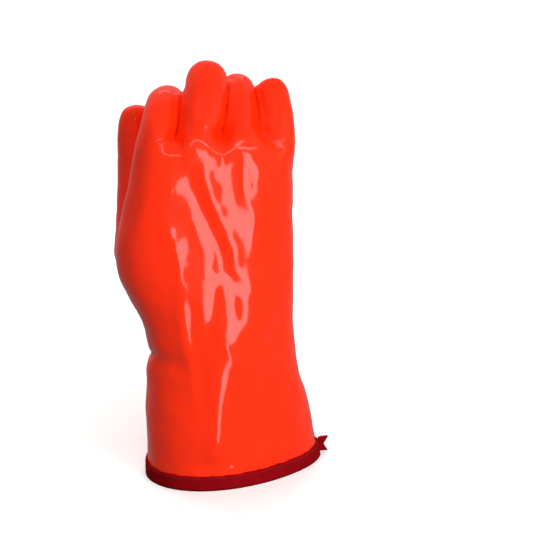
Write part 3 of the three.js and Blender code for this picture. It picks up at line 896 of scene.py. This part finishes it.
@dataclass
class CuffTape:
    """The woven tape round the cuff's rim, with its row of stitches.

    Args:
        edge_mm: How far below the tape's upper edge its wear reaches.
        raggedness_mm: How far the upper edge wanders.
        fray_mm: The sizes of the frayed edge's small and large waves.
        bulge_mm: How far the tape puckers out between stitches.
        pucker_mm: The size of a pucker.
        foot_mm: The heights at which the puckers start above the floor and are full.
        cuts: How often each edge of the solid's facets is divided.
        stitch_drop_mm: How far below the upper edge the stitches run.
        stitch_pitch_mm: The distance from one stitch to the next.
        stitch_length_mm: The part of a stitch that shows.
        thread_mm: The thread's thickness.
        steps: How many directions the rim is felt in.
        feel_m: How far outside the tape each of them starts.
        facets: How many segments and rings a stitch has.
    """

    edge_mm: float = 4.0
    raggedness_mm: float = 0.5
    fray_mm: tuple[float, float] = (1.7, 6.0)
    bulge_mm: float = 0.35
    pucker_mm: float = 4.5
    foot_mm: tuple[float, float] = (0.5, 2.5)
    cuts: int = 2
    stitch_drop_mm: float = 1.5
    stitch_pitch_mm: float = 3.2
    stitch_length_mm: float = 2.3
    thread_mm: float = 0.45
    steps: int = 720
    feel_m: float = 0.2
    facets: tuple[int, int] = (6, 5)

    def build(self) -> bpy.types.Object:
        """Builds the tape and hides the CAD binding behind it.

        Returns:
            The finished piece.
        """
        bm = copied("cuff_binding", "cuff_tape")
        bmesh.ops.subdivide_edges(bm, edges=bm.edges, cuts=self.cuts, use_grid_fill=True)
        piece = finished(bm, "cuff_tape")
        self.wear(piece.data)
        self.unroll(piece.data)
        piece.data.materials.clear()
        piece.data.materials.append(WovenTape().material())
        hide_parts("cuff_binding")
        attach(piece, "root")
        return piece

    def wear(self, mesh: bpy.types.Mesh) -> None:
        """Makes the upper edge ragged and the tape pucker.

        Args:
            mesh: The tape's mesh.
        """
        places = coordinates(mesh) / MM
        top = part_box("cuff_binding")[1].z / MM
        edge = eased(places[:, 2], top - self.edge_mm, top)
        fine, broad = self.fray_mm
        points = [Vector(p) for p in places]
        frayed = np.array([noise.noise(p / fine) + noise.noise(p / broad) for p in points])
        pucker = np.array([noise.noise(p / self.pucker_mm) for p in points])
        places[:, 2] += self.raggedness_mm * frayed * edge
        bulge = self.bulge_mm * pucker * eased(places[:, 2], *self.foot_mm)
        places += normals(mesh) * bulge[:, None]
        move(mesh, places * MM)

    def unroll(self, mesh: bpy.types.Mesh) -> None:
        """Lays the tape's UV map in metres, along the rim and up the tape.

        Args:
            mesh: The tape's mesh.
        """
        layer = mesh.uv_layers.new(name="tape")
        low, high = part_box("cuff_binding")
        middle = (low + high) / 2.0
        radius = (high - low).length / 4.0
        for loop in mesh.loops:
            place = mesh.vertices[loop.vertex_index].co
            turn = math.atan2(place.y - middle.y, place.x - middle.x)
            layer.data[loop.index].uv = (turn * radius, place.z)

    def stitch(self, tape: bpy.types.Object) -> bpy.types.Object:
        """Sews one row of stitches through the tape, seen on its outer face.

        Args:
            tape: The finished tape.

        Returns:
            The stitches as one piece.
        """
        skin = BVHTree.FromPolygons([v.co for v in tape.data.vertices],
                                    [tuple(p.vertices) for p in tape.data.polygons])
        low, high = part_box("cuff_binding")
        height = high.z - self.stitch_drop_mm * MM
        middle = Vector(((low.x + high.x) / 2.0, (low.y + high.y) / 2.0, height))
        rim = []
        for step in range(self.steps):
            turn = math.tau * step / self.steps
            away = Vector((math.cos(turn), math.sin(turn), 0.0))
            met, facing, _, _ = skin.ray_cast(middle + away * self.feel_m, -away)
            if met is not None:
                rim.append((met, facing))
        gaps = [(second[0] - first[0]).length for first, second in zip(rim, rim[1:])]
        lengths = np.cumsum([0.0] + gaps)
        count = int(lengths[-1] / (self.stitch_pitch_mm * MM))
        bm = bmesh.new()
        thick = self.thread_mm * MM / 2.0
        size = Matrix.Diagonal((self.stitch_length_mm * MM / 2.0, thick, thick, 1.0))
        segments, rings = self.facets
        for number in range(count):
            index = int(np.searchsorted(lengths, lengths[-1] * (number + 0.5) / count))
            met, facing = rim[min(index, len(rim) - 2)]
            along = (rim[min(index + 1, len(rim) - 1)][0] - rim[index - 1][0]).normalized()
            turned = Matrix((along, facing.cross(along).normalized(), facing)).transposed().to_4x4()
            bmesh.ops.create_uvsphere(bm, u_segments=segments, v_segments=rings, radius=1.0,
                                      matrix=Matrix.Translation(met) @ turned @ size)
        thread = finished(bm, "cuff_stitches")
        thread.data.materials.append(SewingThread().material())
        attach(thread, "root")
        log.info("%d stitches run round the cuff", count)
        return thread


# The studio


def direction(turn_deg: float, lift_deg: float) -> Vector:
    """The unit vector toward a turn round the glove, 0 in front, and a lift above the floor."""
    turn, lift = math.radians(turn_deg), math.radians(lift_deg)
    level = math.cos(lift)
    return Vector((math.sin(turn) * level, -math.cos(turn) * level, math.sin(lift)))


@dataclass(frozen=True)
class Softbox:
    """One area light aimed at the glove.

    Args:
        name: The light's name.
        turn: Its direction round the glove in degrees, 90 on the little finger's side.
        lift: Its direction above the glove's middle in degrees.
        reach: Its distance in metres.
        size: Its width and height in metres.
        glow: Its brightness in watts for each square metre.
        aim: The point that it faces.
        mirrored: Whether the glossy coat reflects it.
    """

    name: str
    turn: float
    lift: float
    reach: float
    size: tuple[float, float]
    glow: float
    aim: tuple[float, float, float] = (0.0, 0.0, 0.14)
    mirrored: bool = True

    def build(self) -> bpy.types.Object:
        """Makes the light.

        Returns:
            The light's object.
        """
        light = bpy.data.lights.new(self.name, "AREA")
        light.shape = "RECTANGLE"
        light.size, light.size_y = self.size
        light.energy = self.glow * self.size[0] * self.size[1]
        lamp = bpy.data.objects.new(self.name, light)
        bpy.context.scene.collection.objects.link(lamp)
        away = direction(self.turn, self.lift)
        lamp.location = Vector(self.aim) + away * self.reach
        lamp.rotation_euler = away.to_track_quat("Z", "Y").to_euler()
        lamp.visible_camera = False
        lamp.visible_glossy = self.mirrored
        return lamp


@dataclass
class Studio:
    """A plain pale floor under soft light.

    The coat mirrors neither the floor nor the three fill lights.

    Args:
        floor_m: The floor's width.
        floor_roughness: How matt it is.
        sky: The sky's brightness.
        softboxes: The lights.
    """

    floor_m: float = 12.0
    floor_roughness: float = 0.9
    sky: float = 0.30
    softboxes: tuple[Softbox, ...] = (
        Softbox("front_window", 12.0, 0.0, 0.36, (0.11, 0.36), 25.0, (0.0, 0.0, 0.11)),
        Softbox("knuckle_strip", 12.0, 20.0, 0.80, (0.90, 0.045), 28.0, (0.0, 0.0, 0.23)),
        Softbox("palm_window", 164.0, 0.0, 0.60, (0.12, 0.28), 20.0, (0.0, 0.0, 0.02)),
        Softbox("palm_strip", 164.0, 36.0, 0.90, (0.40, 0.10), 4.0, (0.0, 0.0, 0.20)),
        Softbox("key", 54.0, 22.0, 1.3, (1.0, 1.0), 6.5, mirrored=False),
        Softbox("overhead", -32.0, 60.0, 1.3, (0.8, 0.6), 15.0, mirrored=False),
        Softbox("back_sky", 180.0, 60.0, 3.2, (5.0, 4.0), 14.0, (0.0, 2.8, 0.0), False),
    )

    def build(self) -> None:
        """Builds the floor, the sky and the lights."""
        bm = bmesh.new()
        bmesh.ops.create_grid(bm, x_segments=1, y_segments=1, size=self.floor_m / 2.0)
        floor = finished(bm, "floor")
        material, _, shader = new_material("pale_floor")
        shader.inputs["Base Color"].default_value = Colour.FLOOR.rgba
        shader.inputs["Roughness"].default_value = self.floor_roughness
        shader.inputs["Specular IOR Level"].default_value = 0.0
        floor.data.materials.append(material)
        floor.visible_glossy = floor.visible_diffuse = False
        world = bpy.data.worlds.new("pale_sky")
        world.use_nodes = True
        back = world.node_tree.nodes["Background"]
        back.inputs["Color"].default_value = Colour.SKY.rgba
        back.inputs["Strength"].default_value = self.sky
        bpy.context.scene.world = world
        for softbox in self.softboxes:
            softbox.build()
        bpy.context.scene.view_settings.view_transform = "Standard"


@dataclass(frozen=True)
class PhotoCamera:
    """The camera at the photograph's viewing angle.

    Args:
        turn: Its direction round the glove in degrees, negative on the thumb's side.
        lift: Its direction above the floor in degrees.
        reach: Its distance in metres.
        across: How far right of the origin the picture's middle lies, in metres.
        upward: How far above the origin it lies.
        frame_m: The picture's width at the origin's distance.
        sensor_mm: The sensor's width.
    """

    turn: float = -16.0
    lift: float = 18.0
    reach: float = 2.0
    across: float = 0.0303
    upward: float = 0.1313
    frame_m: float = 0.3651
    sensor_mm: float = 36.0

    def build(self) -> bpy.types.Object:
        """Makes the camera and gives it to the scene.

        Returns:
            The camera's object.
        """
        turn = math.radians(self.turn)
        back = direction(self.turn, self.lift)
        right = Vector((math.cos(turn), math.sin(turn), 0.0))
        up = back.cross(right)
        data = bpy.data.cameras.new("photo_camera")
        data.sensor_width = self.sensor_mm
        data.lens = self.sensor_mm * self.reach / self.frame_m
        camera = bpy.data.objects.new("photo_camera", data)
        bpy.context.scene.collection.objects.link(camera)
        camera.location = right * self.across + up * self.upward + back * self.reach
        camera.rotation_euler = back.to_track_quat("Z", "Y").to_euler()
        bpy.context.scene.camera = camera
        return camera


def main() -> None:
    """Builds the camera, the studio and the glove's pieces."""
    logging.basicConfig(level=logging.INFO, format="%(message)s")
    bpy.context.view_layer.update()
    PhotoCamera().build()
    Studio().build()
    coat = GloveCoat(creases=CREASES).build()
    sewn = CuffTape()
    tape = sewn.build()
    for piece in (coat, tape, sewn.stitch(tape)):
        log.info("%s is built with %d faces", piece.name, len(piece.data.polygons))


if __name__ == "__main__":
    main()
